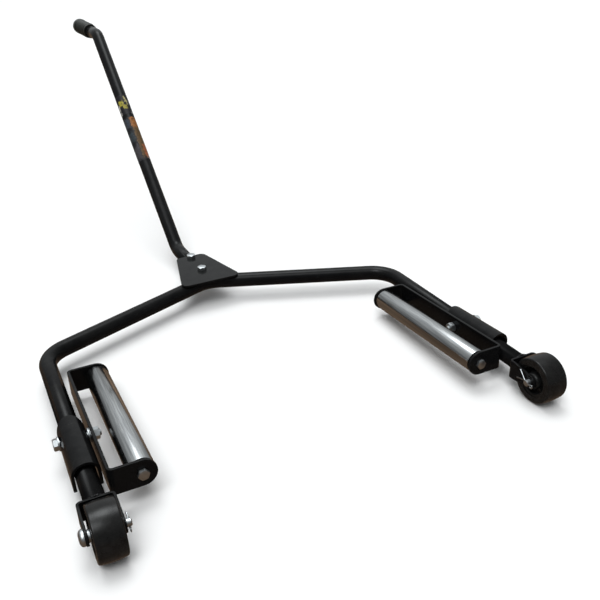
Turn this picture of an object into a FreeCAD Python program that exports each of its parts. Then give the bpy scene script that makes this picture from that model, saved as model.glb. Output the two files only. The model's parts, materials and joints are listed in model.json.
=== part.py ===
"""Two-arm roller wheel dolly.

Frame: +Z up, the floor at z = 0, +Y towards the handle's grip, X across.
The origin is on the floor, halfway along the dolly's overall length.
Everything is in millimetres. The right-hand side is at +X.
"""
import FreeCAD, Part
import math
import os
from FreeCAD import Vector

# ---- driving dimensions -------------------------------------------------
OVERALL_LENGTH = 1751.0

# Tube stock of the frame and the handle
TUBE_R = 16.0
TUBE_WALL = 2.5
BEND_R = 64.0
HANDLE_BEND_R = 48.0

# Frame plan, measured from the elbows
ARM_X = 380.0
APEX_BACK = 159.0
WHEEL_FORWARD = 496.0
WEB_FORWARD = 443.0
PIVOT_FORWARD = 284.0
PIVOT_RISE = 4.0

# Handle, measured from the elbows and above the frame tube's centre
STUB_BACK = 171.0
HEEL_BACK = 371.0
HANDLE_RISE = 444.5
HANDLE_RUN = 586.5
GRIP_LENGTH = 166.0
GRIP_END_WALL = 5.0

# Gusset plate and the bolts through it and the handle's stub
PLATE_T = 4.0
PLATE_FRONT_BACK = 117.0
PLATE_REAR_BACK = 269.0
PLATE_FRONT_HALF = 69.0
PLATE_REAR_HALF = 33.0
PLATE_REAR_R = 13.0
PLATE_FRONT_R = 14.0
GUSSET_BOLTS_BACK = (183.0, 259.0)
FRONT_GUSSET_BOLT_LENGTH = 50.0
REAR_GUSSET_BOLT_LENGTH = 62.5

# M12 and M10 fasteners: shank radius, across flats, head and nut height, washer
M12 = {"r": 6.0, "flats": 18.0, "head": 7.5, "nut": 10.4, "washer_r": 12.0, "washer_t": 2.5}
M10 = {"r": 5.0, "flats": 16.0, "head": 6.4, "nut": 9.2, "washer_r": 10.0, "washer_t": 2.2}
HOLE_PLAY = 0.25
RUNNING_PLAY = 0.05

# Wheels and forks
WHEEL_R = 42.5
WHEEL_INBOARD = 1.0
TREAD_W = 42.0
HUB_R = 29.0
HUB_W = 42.6
BUSH_R = 9.0
AXLE_WASHER_R = 9.0
WASHER_PLAY = 0.2
STRAP_T = 4.0
FORK_GAP = 47.6
FORK_WEB_H = 34.0
FORK_EAR_R = 13.0
PIN_HEAD_R = 12.0
PIN_HEAD_T = 8.0
PIN_TAIL = 8.0
COTTER_R = 1.5

# Rocking carriages, about the pivot bolt
REST_TILT = 2.5
SADDLE_IN_R = 17.0
SADDLE_T = 5.0
SADDLE_REAR = 40.0
SADDLE_FRONT = 100.0
SADDLE_REAR_SLANT = 0.9
SADDLE_FRONT_SLANT = 0.1
SADDLE_DROP_AT_PIVOT = 17.0
SADDLE_DROP_AT_FRONT = 28.0
BAR_T = 5.0
BAR_H = 45.0
ROLLER_IN = 74.0
ROLLER_BACK = 24.5
ROLLER_R = 21.2
ROLLER_WALL = 2.6
ROLLER_LENGTH = 305.0
ROLLER_END_GAP = 3.5

# ---- derived places -----------------------------------------------------
WHEEL_Y = -OVERALL_LENGTH / 2 + WHEEL_R
ELBOW_Y = WHEEL_Y + WHEEL_FORWARD
APEX_Y = ELBOW_Y + APEX_BACK
WEB_Y = ELBOW_Y - WEB_FORWARD
PIVOT_Y = ELBOW_Y - PIVOT_FORWARD
FRAME_Z = WHEEL_R
PIVOT_Z = FRAME_Z + PIVOT_RISE
HEEL_Y = ELBOW_Y + HEEL_BACK
TOP_Y = HEEL_Y + HANDLE_RUN
TOP_Z = FRAME_Z + HANDLE_RISE
GRIP_END_Y = OVERALL_LENGTH / 2
HANDLE_ANGLE = math.atan2(HANDLE_RISE, HANDLE_RUN)

X_AXIS = Vector(1, 0, 0)
Y_AXIS = Vector(0, 1, 0)
Z_AXIS = Vector(0, 0, 1)
ORIGIN = Vector(0, 0, 0)


# ---- general helpers ----------------------------------------------------
def bent_path(corners, radius):
    """A wire along straight legs, with an arc of the given radius at each inner corner."""
    edges = []
    start = corners[0]
    for before, corner, after in zip(corners, corners[1:], corners[2:]):
        back = (before - corner).normalize()
        on = (after - corner).normalize()
        turn = math.pi - back.getAngle(on)
        reach = radius * math.tan(turn / 2)
        enter = corner + back * reach
        leave = corner + on * reach
        inward = (back + on).normalize()
        middle = corner + inward * (radius / math.cos(turn / 2) - radius)
        edges.append(Part.makeLine(start, enter))
        edges.append(Part.Arc(enter, middle, leave).toShape())
        start = leave
    edges.append(Part.makeLine(start, corners[-1]))
    return Part.Wire(edges)


def swept_rod(path, radius):
    """A round rod along a wire."""
    first = path.Edges[0]
    start = first.valueAt(first.FirstParameter)
    along = first.tangentAt(first.FirstParameter)
    ring = Part.Wire(Part.makeCircle(radius, start, along))
    return path.makePipeShell([ring], True, True)


def swept_tube(path, radius, wall):
    """A hollow round tube along a wire, open at both ends."""
    return swept_rod(path, radius).cut(swept_rod(path, radius - wall))


def cylinder(radius, start, end):
    """A cylinder from one point to another."""
    along = end - start
    return Part.makeCylinder(radius, along.Length, start, along)


def ring(outer, inner, start, end):
    """A plain ring or sleeve from one point to another."""
    return cylinder(outer, start, end).cut(cylinder(inner, start, end))


def turned(profile, centre, axis_across=Z_AXIS, axis_along=X_AXIS):
    """A solid turned from (along, radius) points about the axis through centre."""
    points = [centre + axis_along * along + axis_across * radius for along, radius in profile]
    face = Part.Face(Part.makePolygon(points + points[:1]))
    return face.revolve(centre, axis_along, 360)


def hex_body(flats, height, start, along):
    """A hexagonal prism with its outer end chamfered all round, growing from start."""
    corner_r = flats / math.sqrt(3)
    chamfer = (corner_r - flats / 2 + 0.4) * math.tan(math.radians(30))
    corners = [Vector(corner_r * math.cos(math.radians(60 * i)), corner_r * math.sin(math.radians(60 * i)), 0)
               for i in range(7)]
    prism = Part.Face(Part.makePolygon(corners)).extrude(Vector(0, 0, height))
    blank = turned([(0, 0), (0, corner_r), (height - chamfer, corner_r),
                    (height, flats / 2 - 0.4), (height, 0)], ORIGIN, X_AXIS, Z_AXIS)
    return placed(prism.common(blank), start, along)


def placed(shape, start, along):
    """Turns a shape built along +Z so that it grows along another direction from start."""
    shape = shape.copy()
    shape.Placement = FreeCAD.Placement(start, FreeCAD.Rotation(Z_AXIS, along))
    return shape


def hex_bolt(size, seat, along, length):
    """A bolt whose head sits on seat, with its shank running along for length."""
    head = hex_body(size["flats"], size["head"], seat, along * -1)
    tip = size["r"] * 0.2
    shank = turned([(0, 0), (0, size["r"]), (length - tip, size["r"]), (length, size["r"] - tip), (length, 0)],
                   ORIGIN, X_AXIS, Z_AXIS)
    return head.fuse(placed(shank, seat, along)).removeSplitter()


def hex_nut(size, seat, along):
    """A nut that grows from seat, with a plain bore at the shank's size."""
    body = hex_body(size["flats"], size["nut"], seat, along)
    return body.cut(cylinder(size["r"], seat, seat + along * size["nut"]))


def washer(size, seat, along):
    """A plain washer that grows from seat."""
    return ring(size["washer_r"], size["r"], seat, seat + along * size["washer_t"])


def group(solids):
    """Several separate solids kept as one node."""
    return Part.makeCompound(solids)


def mirrored(shape):
    """The same piece on the other side of the YZ plane."""
    return shape.mirror(ORIGIN, X_AXIS)


# ---- frame and gusset ---------------------------------------------------
def frame_tube():
    corners = [Vector(ARM_X, WEB_Y, FRAME_Z), Vector(ARM_X, ELBOW_Y, FRAME_Z), Vector(0, APEX_Y, FRAME_Z),
               Vector(-ARM_X, ELBOW_Y, FRAME_Z), Vector(-ARM_X, WEB_Y, FRAME_Z)]
    tube = swept_tube(bent_path(corners, BEND_R), TUBE_R, TUBE_WALL)
    cross_hole = cylinder(M12["r"] + RUNNING_PLAY, Vector(ARM_X - 2 * TUBE_R, PIVOT_Y, PIVOT_Z),
                          Vector(ARM_X + 2 * TUBE_R, PIVOT_Y, PIVOT_Z))
    return tube.cut(cross_hole).cut(mirrored(cross_hole))


def gusset_plate():
    """A plate welded over the apex, with its wide edge in front and its narrow edge over the handle's stub."""
    underside = FRAME_Z + TUBE_R
    front = ELBOW_Y + PLATE_FRONT_BACK
    rear = ELBOW_Y + PLATE_REAR_BACK
    outline = [Vector(-PLATE_FRONT_HALF, front, underside), Vector(PLATE_FRONT_HALF, front, underside),
               Vector(PLATE_REAR_HALF, rear, underside), Vector(-PLATE_REAR_HALF, rear, underside)]
    plate = Part.Face(Part.makePolygon(outline + outline[:1])).extrude(Vector(0, 0, PLATE_T))
    uprights = [edge for edge in plate.Edges if abs(edge.tangentAt(edge.FirstParameter).z) > 0.99]
    rear_corners = [edge for edge in uprights if abs(edge.Vertexes[0].Y - rear) < 1]
    front_corners = [edge for edge in uprights if abs(edge.Vertexes[0].Y - front) < 1]
    plate = plate.makeFillet(PLATE_REAR_R, rear_corners).makeFillet(PLATE_FRONT_R, front_corners)
    for back in GUSSET_BOLTS_BACK:
        centre = Vector(0, ELBOW_Y + back, underside)
        plate = plate.cut(cylinder(M12["r"] + HOLE_PLAY, centre, centre + Z_AXIS * PLATE_T))
    return plate


def gusset_fasteners():
    """The two upright bolts through plate and stub, each with a washer and a nut under the stub.

    The rear bolt is the longer one: its end is the foot that the apex rests on.
    """
    top = FRAME_Z + TUBE_R + PLATE_T
    bottom = FRAME_Z - TUBE_R
    bolts = []
    washers = []
    nuts = []
    for back, length in zip(GUSSET_BOLTS_BACK, (FRONT_GUSSET_BOLT_LENGTH, REAR_GUSSET_BOLT_LENGTH)):
        above = Vector(0, ELBOW_Y + back, top)
        below = Vector(0, ELBOW_Y + back, bottom)
        washers.append(washer(M12, below, Z_AXIS * -1))
        bolts.append(hex_bolt(M12, above, Z_AXIS * -1, length))
        nuts.append(hex_nut(M12, below - Z_AXIS * M12["washer_t"], Z_AXIS * -1))
    return group(bolts), group(washers), group(nuts)


# ---- handle -------------------------------------------------------------
def handle_tube():
    corners = [Vector(0, ELBOW_Y + STUB_BACK, FRAME_Z), Vector(0, HEEL_Y, FRAME_Z),
               Vector(0, TOP_Y, TOP_Z), Vector(0, GRIP_END_Y - GRIP_END_WALL, TOP_Z)]
    tube = swept_tube(bent_path(corners, HANDLE_BEND_R), TUBE_R, TUBE_WALL)
    for back in GUSSET_BOLTS_BACK:
        centre = Vector(0, ELBOW_Y + back, FRAME_Z)
        tube = tube.cut(cylinder(M12["r"] + HOLE_PLAY, centre - Z_AXIS * 2 * TUBE_R, centre + Z_AXIS * 2 * TUBE_R))
    return tube


def handle_grip():
    """A rubber sleeve with a collar, finger grooves and a domed closed end."""
    start = Vector(0, GRIP_END_Y - GRIP_LENGTH, TOP_Z)
    collar_r = 19.5
    body_r = 20.5
    end_r = 22.0
    groove_count = 9
    groove_pitch = 12.0
    groove_depth = 1.2
    dome_r = 15.0
    profile = [(0, TUBE_R), (0, collar_r), (8, collar_r), (10, body_r)]
    for i in range(groove_count):
        along = 16 + i * groove_pitch
        profile += [(along, body_r), (along + 1.5, body_r - groove_depth),
                    (along + 3.5, body_r - groove_depth), (along + 5, body_r)]
    profile += [(130, body_r), (136, end_r), (GRIP_LENGTH, end_r), (GRIP_LENGTH, 0),
                (GRIP_LENGTH - GRIP_END_WALL, 0), (GRIP_LENGTH - GRIP_END_WALL, TUBE_R)]
    grip = turned(profile, start, Z_AXIS, Y_AXIS)
    rim = [edge for edge in grip.Edges if abs(edge.BoundBox.YMin - GRIP_END_Y) < 0.01
           and abs(edge.BoundBox.YMax - GRIP_END_Y) < 0.01 and edge.Length > 6 * end_r]
    return grip.makeFillet(dome_r, rim)


def handle_label(low, high, wrap_deg):
    """A thin sticker bent over the upper side of the sloping shaft, between two distances from the heel."""
    film = 0.25
    along = Vector(0, math.cos(HANDLE_ANGLE), math.sin(HANDLE_ANGLE))
    upward = Vector(0, -math.sin(HANDLE_ANGLE), math.cos(HANDLE_ANGLE))
    start = Vector(0, HEEL_Y, FRAME_Z) + along * low
    half = math.radians(wrap_deg / 2)

    def rim_point(radius, angle):
        return start + upward * (radius * math.cos(angle)) + X_AXIS * (radius * math.sin(angle))

    outer = Part.Arc(*[rim_point(TUBE_R + film, angle) for angle in (-half, 0, half)]).toShape()
    inner = Part.Arc(*[rim_point(TUBE_R, angle) for angle in (half, 0, -half)]).toShape()
    sides = [Part.makeLine(rim_point(TUBE_R + film, half), rim_point(TUBE_R, half)),
             Part.makeLine(rim_point(TUBE_R, -half), rim_point(TUBE_R + film, -half))]
    section = Part.Face(Part.Wire([outer, sides[0], inner, sides[1]]))
    return section.extrude(along * (high - low))


# ---- bent straps --------------------------------------------------------
def bent_strap(depth, width, thickness, bend_out, height):
    """A flat strap bent into a U in plan: web along X at y = 0, legs running to y = -depth, centred on x = 0."""
    outer = Part.makeBox(width, depth + bend_out, height, Vector(-width / 2, -depth, -height / 2))
    inner = Part.makeBox(width - 2 * thickness, depth + bend_out, height,
                         Vector(thickness - width / 2, -depth - bend_out - thickness, -height / 2))
    outer = outer.cut(Part.makeBox(width, bend_out, height, Vector(-width / 2, 0, -height / 2)))
    outer = rounded_uprights(outer, 0, bend_out)
    inner = rounded_uprights(inner, -thickness, bend_out - thickness)
    return outer.cut(inner)


def rounded_uprights(block, at_y, radius):
    """Rounds the block's vertical edges that lie in the plane y = at_y."""
    uprights = [edge for edge in block.Edges
                if abs(edge.BoundBox.YMin - at_y) < 0.01 and edge.BoundBox.YLength < 0.01
                and edge.BoundBox.XLength < 0.01]
    return block.makeFillet(radius, uprights)


def fork():
    """Right-hand fork: its web closes the tube's end and its ears taper to the axle."""
    width = FORK_GAP + 2 * STRAP_T
    reach = WHEEL_FORWARD - WEB_FORWARD
    strap = bent_strap(reach + FORK_EAR_R, width, STRAP_T, 7.0, FORK_WEB_H)
    half_h = FORK_WEB_H / 2
    taper_start = -14.0
    tangent = math.acos((half_h - FORK_EAR_R) / (reach + taper_start))
    touch_y = -reach + FORK_EAR_R * math.cos(tangent)
    touch_z = FORK_EAR_R * math.sin(tangent)
    corners = [(0, half_h), (taper_start, half_h), (touch_y, touch_z), (-reach, 0),
               (touch_y, -touch_z), (taper_start, -half_h), (0, -half_h)]
    points = [Vector(-width, y, z) for y, z in corners]
    side = Part.Face(Part.makePolygon(points + points[:1])).extrude(X_AXIS * 2 * width)
    round_end = cylinder(FORK_EAR_R, Vector(-width, -reach, 0), Vector(width, -reach, 0))
    ears = strap.common(side.fuse(round_end))
    hole = cylinder(M12["r"] + HOLE_PLAY, Vector(-width, -reach, 0), Vector(width, -reach, 0))
    ears = ears.cut(hole)
    ears.translate(Vector(ARM_X, WEB_Y, FRAME_Z))
    return ears


# ---- wheels -------------------------------------------------------------
def fork_centre():
    """The point of the axle that is midway between the fork's ears."""
    return Vector(ARM_X, WHEEL_Y, FRAME_Z)


def wheel_centre():
    return fork_centre() - X_AXIS * WHEEL_INBOARD


def wheel_tread():
    """A solid rubber tyre with a slightly crowned tread and rounded shoulders."""
    half = TREAD_W / 2
    centre = wheel_centre()
    crown = WHEEL_R - 1.0
    profile = [(-half, HUB_R), (-half, crown), (0, WHEEL_R), (half, crown), (half, HUB_R)]
    points = [centre + X_AXIS * along + Z_AXIS * radius for along, radius in profile]
    edges = [Part.makeLine(points[4], points[0]), Part.makeLine(points[0], points[1]),
             Part.Arc(points[1], points[2], points[3]).toShape(), Part.makeLine(points[3], points[4])]
    tread = Part.Face(Part.Wire(edges)).revolve(centre, X_AXIS, 360)
    shoulders = [edge for edge in tread.Edges if edge.Length > 2 * math.pi * (crown - 1)
                 and edge.BoundBox.XLength < 0.01]
    return tread.makeFillet(8.0, shoulders)


def wheel_hub():
    """A moulded core with a raised boss, a recessed web and a rim under the tread."""
    half_boss = HUB_W / 2
    half_rim = TREAD_W / 2 - 1.5
    half_web = 9.0
    boss_r = 14.0
    rim_in_r = 25.0
    one_side = [(half_boss, BUSH_R), (half_boss, boss_r - 1), (half_boss - 1, boss_r), (half_web, boss_r + 1.5),
                (half_web, rim_in_r - 1.5), (half_rim, rim_in_r), (half_rim, HUB_R)]
    other_side = [(-along, radius) for along, radius in reversed(one_side)]
    return turned(one_side + other_side, wheel_centre())


def wheel_bush():
    half = X_AXIS * (HUB_W / 2)
    return ring(BUSH_R, M12["r"] + RUNNING_PLAY, wheel_centre() - half, wheel_centre() + half)


def axle_pin(cotter_along):
    """A headed pin, with its head outside the fork and a cross hole for the cotter at its inner end."""
    centre = fork_centre()
    ear = FORK_GAP / 2 + STRAP_T
    pin = turned([(-ear - PIN_TAIL, 0), (-ear - PIN_TAIL, M12["r"] - 1), (-ear - PIN_TAIL + 1, M12["r"]),
                  (ear, M12["r"]), (ear, PIN_HEAD_R), (ear + PIN_HEAD_T - 4, PIN_HEAD_R),
                  (ear + PIN_HEAD_T - 1, PIN_HEAD_R - 3), (ear + PIN_HEAD_T, PIN_HEAD_R - 6),
                  (ear + PIN_HEAD_T, 0)], centre)
    middle = cotter_centre()
    return pin.cut(cylinder(COTTER_R + 0.1, middle - cotter_along * 10, middle + cotter_along * 10))


def cotter_centre():
    return fork_centre() - X_AXIS * (FORK_GAP / 2 + STRAP_T + PIN_TAIL / 2)


def cotter_direction(angle_deg):
    """The way a cotter's legs point, as an angle above +Y in the wheel's plane."""
    angle = math.radians(angle_deg)
    return Vector(0, math.cos(angle), math.sin(angle))


def cotter_pin(angle_deg, splay_deg, leg_length):
    """A split pin: an eye, a straight shank through the axle pin, and two legs bent apart."""
    eye_r = 2.8
    shank_half = 7.5
    middle = cotter_centre()
    along = cotter_direction(angle_deg)
    eye_centre = middle - along * (shank_half + eye_r)
    eye = Part.makeTorus(eye_r, 0.9, eye_centre, X_AXIS)
    shank = cylinder(COTTER_R, middle - along * (shank_half + 1), middle + along * shank_half)
    body = eye.fuse(shank)
    for way in (1, -1):
        leg_along = cotter_direction(angle_deg + way * splay_deg)
        root = middle + along * (shank_half - 1)
        body = body.fuse(cylinder(1.1, root, root + leg_along * leg_length))
    return body.removeSplitter()


def axle_washers():
    """A thick washer outside the hub and a thin one inside it, which set the wheel slightly inboard."""
    washers = []
    for way in (1, -1):
        ear_face = fork_centre() + X_AXIS * (way * FORK_GAP / 2)
        hub_face = wheel_centre() + X_AXIS * (way * (HUB_W / 2 + WASHER_PLAY))
        washers.append(ring(AXLE_WASHER_R, M12["r"] + RUNNING_PLAY, ear_face, hub_face))
    return group(washers)


# ---- rocking carriages, built level about the pivot at the origin -------
def saddle():
    """An inverted U channel with a half-round top, cut on a slant behind the pivot and deeper in front."""
    outer_r = SADDLE_IN_R + SADDLE_T
    start = Vector(0, -SADDLE_FRONT, 0)
    end = Vector(0, SADDLE_REAR, 0)
    length = SADDLE_FRONT + SADDLE_REAR

    def arch(radius):
        flanks = Part.makeBox(2 * radius, length, 2 * outer_r, Vector(-radius, -SADDLE_FRONT, -2 * outer_r))
        return cylinder(radius, start, end).fuse(flanks)

    shell = arch(outer_r).cut(arch(SADDLE_IN_R)).common(saddle_side_view())
    hole = cylinder(M12["r"] + HOLE_PLAY, Vector(-2 * outer_r, 0, 0), Vector(2 * outer_r, 0, 0))
    return shell.cut(hole).removeSplitter()


def saddle_side_view():
    """The saddle's outline seen from the side, as a slab across its whole width."""
    top = SADDLE_IN_R + SADDLE_T
    drop_slope = (SADDLE_DROP_AT_FRONT - SADDLE_DROP_AT_PIVOT) / SADDLE_FRONT
    rear_at_axis = SADDLE_REAR - SADDLE_REAR_SLANT * top
    rear_low_y = (rear_at_axis - SADDLE_REAR_SLANT * SADDLE_DROP_AT_PIVOT) / (1 - SADDLE_REAR_SLANT * drop_slope)
    rear_low_z = -SADDLE_DROP_AT_PIVOT + drop_slope * rear_low_y
    front_low_y = -SADDLE_FRONT + SADDLE_FRONT_SLANT * (top + SADDLE_DROP_AT_FRONT)
    front_low_z = -SADDLE_DROP_AT_PIVOT + drop_slope * front_low_y
    corners = [Vector(-top, -SADDLE_FRONT, top), Vector(-top, SADDLE_REAR, top),
               Vector(-top, rear_low_y, rear_low_z), Vector(-top, front_low_y, front_low_z)]
    return Part.Face(Part.makePolygon(corners + corners[:1])).extrude(X_AXIS * 2 * top)


def web_outer_x():
    """Where the bracket's web faces the saddle, beyond the washer between them."""
    return -(SADDLE_IN_R + SADDLE_T + M12["washer_t"])


def roller_bracket():
    """A flat bar bent into a C: a web beside the saddle and two round-ended ears towards the middle."""
    gap = ROLLER_LENGTH + 2 * ROLLER_END_GAP
    width = gap + 2 * BAR_T
    ear_reach = ROLLER_IN + web_outer_x()
    strap = bent_strap(ear_reach + BAR_H / 2, width, BAR_T, 9.0, BAR_H)
    flat = Part.makeBox(2 * width, ear_reach, BAR_H, Vector(-width, -ear_reach, -BAR_H / 2))
    round_end = cylinder(BAR_H / 2, Vector(-width, -ear_reach, 0), Vector(width, -ear_reach, 0))
    bar = strap.common(flat.fuse(round_end))
    axle_hole = cylinder(M10["r"] + HOLE_PLAY, Vector(-width, -ear_reach, 0), Vector(width, -ear_reach, 0))
    bar = bar.cut(axle_hole)
    bar.rotate(ORIGIN, Z_AXIS, -90)
    bar.translate(Vector(web_outer_x(), ROLLER_BACK, 0))
    pivot_hole = cylinder(M12["r"] + HOLE_PLAY, Vector(web_outer_x() + 1, 0, 0), Vector(web_outer_x() - BAR_T - 1, 0, 0))
    return bar.cut(pivot_hole)


def pivot_fasteners():
    """Bolt, washers and nut that clamp the saddle to the bracket and turn in the frame tube's cross hole."""
    flank = SADDLE_IN_R + SADDLE_T
    inward = X_AXIS * -1
    head_washer = washer(M12, Vector(flank, 0, 0), X_AXIS)
    middle_washer = washer(M12, inward * flank, inward)
    web_inner = web_outer_x() - BAR_T
    seat = Vector(flank + M12["washer_t"], 0, 0)
    thread_past_nut = 3.0
    length = seat.x - web_inner + M12["nut"] + thread_past_nut
    bolt = hex_bolt(M12, seat, inward, length)
    nut = hex_nut(M12, Vector(web_inner, 0, 0), inward)
    return bolt, group([head_washer, middle_washer]), nut


def roller_axis_point(along):
    """A point on the roller's axis, a distance behind the roller's middle."""
    return Vector(-ROLLER_IN, ROLLER_BACK + along, 0)


def roller_fasteners():
    """The long bolt that the roller turns on, its two washers and its lock nut."""
    inner_face = ROLLER_LENGTH / 2 + ROLLER_END_GAP
    outer_face = inner_face + BAR_T
    thread_past_nut = 2.0
    length = 2 * outer_face + M10["nut"] + thread_past_nut
    bolt = hex_bolt(M10, roller_axis_point(-outer_face), Y_AXIS, length)
    washers = group([washer(M10, roller_axis_point(-inner_face), Y_AXIS),
                     washer(M10, roller_axis_point(inner_face), Y_AXIS * -1)])
    nut = hex_nut(M10, roller_axis_point(outer_face), Y_AXIS)
    return bolt, washers, nut


def roller_tube():
    half = ROLLER_LENGTH / 2
    return ring(ROLLER_R, ROLLER_R - ROLLER_WALL, roller_axis_point(-half), roller_axis_point(half))


def roller_bushes():
    """Two moulded plugs, pressed into the tube's ends, with a small boss that bears on the washer."""
    half = ROLLER_LENGTH / 2
    plug_depth = 18.0
    boss = ROLLER_END_GAP - M10["washer_t"] - 0.3
    plugs = []
    for way in (1, -1):
        plug = ring(ROLLER_R - ROLLER_WALL, M10["r"] + RUNNING_PLAY,
                    roller_axis_point(way * (half - plug_depth)), roller_axis_point(way * half))
        nose = ring(9.0, M10["r"] + RUNNING_PLAY,
                    roller_axis_point(way * half), roller_axis_point(way * (half + boss)))
        plugs.append(plug.fuse(nose).removeSplitter())
    return group(plugs)


def on_right_arm(shape):
    """Tips a carriage piece to its rest tilt, front up, and sets it on the right arm's pivot."""
    shape = shape.copy()
    shape.rotate(ORIGIN, X_AXIS, -REST_TILT)
    shape.translate(Vector(ARM_X, PIVOT_Y, PIVOT_Z))
    return shape


# ---- the whole dolly ----------------------------------------------------
def middle_nodes():
    bolts, washers, nuts = gusset_fasteners()
    return {
        "frame_tube": frame_tube(),
        "gusset_plate": gusset_plate(),
        "gusset_bolts": bolts,
        "gusset_washers": washers,
        "gusset_nuts": nuts,
        "handle_tube": handle_tube(),
        "handle_grip": handle_grip(),
        "upper_handle_label": handle_label(428, 494, 200),
        "lower_handle_label": handle_label(271, 417, 220),
    }


def right_side_nodes():
    """Every piece of the right-hand side, except the cotter and its pin."""
    pivot_bolt, pivot_washers, pivot_nut = pivot_fasteners()
    roller_bolt, roller_washers, roller_nut = roller_fasteners()
    carriage = {
        "saddle": saddle(),
        "roller_bracket": roller_bracket(),
        "pivot_bolt": pivot_bolt,
        "pivot_washers": pivot_washers,
        "pivot_nut": pivot_nut,
        "roller_axle_bolt": roller_bolt,
        "roller_washers": roller_washers,
        "roller_lock_nut": roller_nut,
        "roller_tube": roller_tube(),
        "roller_bushes": roller_bushes(),
    }
    nodes = {name: on_right_arm(shape) for name, shape in carriage.items()}
    nodes["fork"] = fork()
    nodes["axle_washers"] = axle_washers()
    nodes["wheel_tread"] = wheel_tread()
    nodes["wheel_hub"] = wheel_hub()
    nodes["wheel_bush"] = wheel_bush()
    return nodes


def pinned_axle(angle_deg, splay_deg, leg_length):
    """An axle pin with the cotter that holds it, turned to its own angle."""
    return {
        "axle_pin": axle_pin(cotter_direction(angle_deg)),
        "cotter_pin": cotter_pin(angle_deg, splay_deg, leg_length),
    }


def all_nodes():
    nodes = middle_nodes()
    for name, shape in right_side_nodes().items():
        nodes["right_" + name] = shape
        nodes["left_" + name] = mirrored(shape)
    for name, shape in pinned_axle(17.0, 31.0, 20.0).items():
        nodes["right_" + name] = shape
    for name, shape in pinned_axle(48.0, 16.0, 8.0).items():
        nodes["left_" + name] = mirrored(shape)
    return nodes


os.makedirs("parts", exist_ok=True)
for node_name, node_shape in all_nodes().items():
    node_shape.exportStep("parts/" + node_name + ".step")
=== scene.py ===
"""Looks of the two-arm roller wheel dolly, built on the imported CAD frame. Units are metres."""

import json
import math

import bmesh
import bpy
from mathutils import Matrix, Vector, noise


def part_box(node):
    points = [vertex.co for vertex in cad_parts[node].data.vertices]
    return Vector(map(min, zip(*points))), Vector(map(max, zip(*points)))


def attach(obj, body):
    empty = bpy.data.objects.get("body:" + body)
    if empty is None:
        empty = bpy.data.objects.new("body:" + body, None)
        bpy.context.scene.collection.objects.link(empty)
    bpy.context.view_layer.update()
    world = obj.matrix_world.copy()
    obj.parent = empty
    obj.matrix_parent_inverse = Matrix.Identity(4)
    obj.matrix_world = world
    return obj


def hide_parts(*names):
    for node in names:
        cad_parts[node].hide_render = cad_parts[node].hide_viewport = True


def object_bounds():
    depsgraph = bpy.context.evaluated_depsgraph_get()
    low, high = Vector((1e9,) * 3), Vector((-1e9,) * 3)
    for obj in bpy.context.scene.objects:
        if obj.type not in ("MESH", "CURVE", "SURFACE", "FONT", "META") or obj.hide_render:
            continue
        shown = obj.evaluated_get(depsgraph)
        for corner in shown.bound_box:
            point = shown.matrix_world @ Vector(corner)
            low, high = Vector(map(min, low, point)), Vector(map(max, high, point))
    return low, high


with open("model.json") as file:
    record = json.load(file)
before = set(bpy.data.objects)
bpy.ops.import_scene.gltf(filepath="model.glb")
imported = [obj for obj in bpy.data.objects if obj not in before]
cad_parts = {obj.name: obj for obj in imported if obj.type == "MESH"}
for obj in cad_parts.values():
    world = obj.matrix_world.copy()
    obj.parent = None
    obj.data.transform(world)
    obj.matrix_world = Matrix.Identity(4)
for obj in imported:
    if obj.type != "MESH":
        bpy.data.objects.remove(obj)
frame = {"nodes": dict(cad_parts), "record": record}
cad_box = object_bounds()

X_AXIS = Vector((1, 0, 0))
Y_AXIS = Vector((0, 1, 0))
Z_AXIS = Vector((0, 0, 1))
MM = 0.001
SIDES = (("left", -1), ("right", 1))

# ---- camera -------------------------------------------------------------
CAMERA_PLACE = Vector((-0.4495, -1.6013, 0.7571))
CAMERA_AZIMUTH = -25.63
CAMERA_ELEVATION = 27.51
CAMERA_ROLL = -1.75
CAMERA_LENS = 43.54

# ---- fastener sizes: shank radius, across flats and thread pitch --------
M12 = {"r": 6.0 * MM, "flats": 18.0 * MM, "pitch": 1.75 * MM}
M10 = {"r": 5.0 * MM, "flats": 16.0 * MM, "pitch": 1.5 * MM}
TUBE_R = 16.0 * MM
WELD_R = 2.4 * MM


# ---- places read from the frame -----------------------------------------
def joint_line(name):
    """A joint's point and unit axis."""
    joint = next(j for j in frame["record"]["behaviour"]["joints"] if j["name"] == name)
    return Vector(joint["pos_m"]), Vector(joint["axis"]).normalized()


def handle_line():
    """A point on the sloping handle shaft's centre line, and its unit direction towards the grip."""
    mount = next(m for m in frame["record"]["mounts"] if m["name"] == "handle_shaft")
    return Vector(mount["pos_m"]), Vector(mount["axis"]).normalized()


def points_of(node):
    return [vertex.co.copy() for vertex in frame["nodes"][node].data.vertices]


def reach(points, origin, along):
    """How far points reach along a direction, as (lowest, highest)."""
    places = [(point - origin).dot(along) for point in points]
    return min(places), max(places)


def widest(points, origin, along):
    """The largest distance of points from an axis."""
    return max(((point - origin) - along * (point - origin).dot(along)).length for point in points)


def split_along(points, along, count):
    """Points sorted into groups at the widest gaps along a direction, lowest group first."""
    ordered = sorted(points, key=lambda point: point.dot(along))
    gaps = [(after.dot(along) - before.dot(along), i + 1)
            for i, (before, after) in enumerate(zip(ordered, ordered[1:]))]
    cuts = sorted(index for _, index in sorted(gaps)[-(count - 1):])
    bounds = [0] + cuts + [len(ordered)]
    return [ordered[low:high] for low, high in zip(bounds, bounds[1:])]


def middle_of(points):
    """The centre of the box around points."""
    low = Vector([min(point[i] for point in points) for i in range(3)])
    high = Vector([max(point[i] for point in points) for i in range(3)])
    return (low + high) / 2


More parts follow.
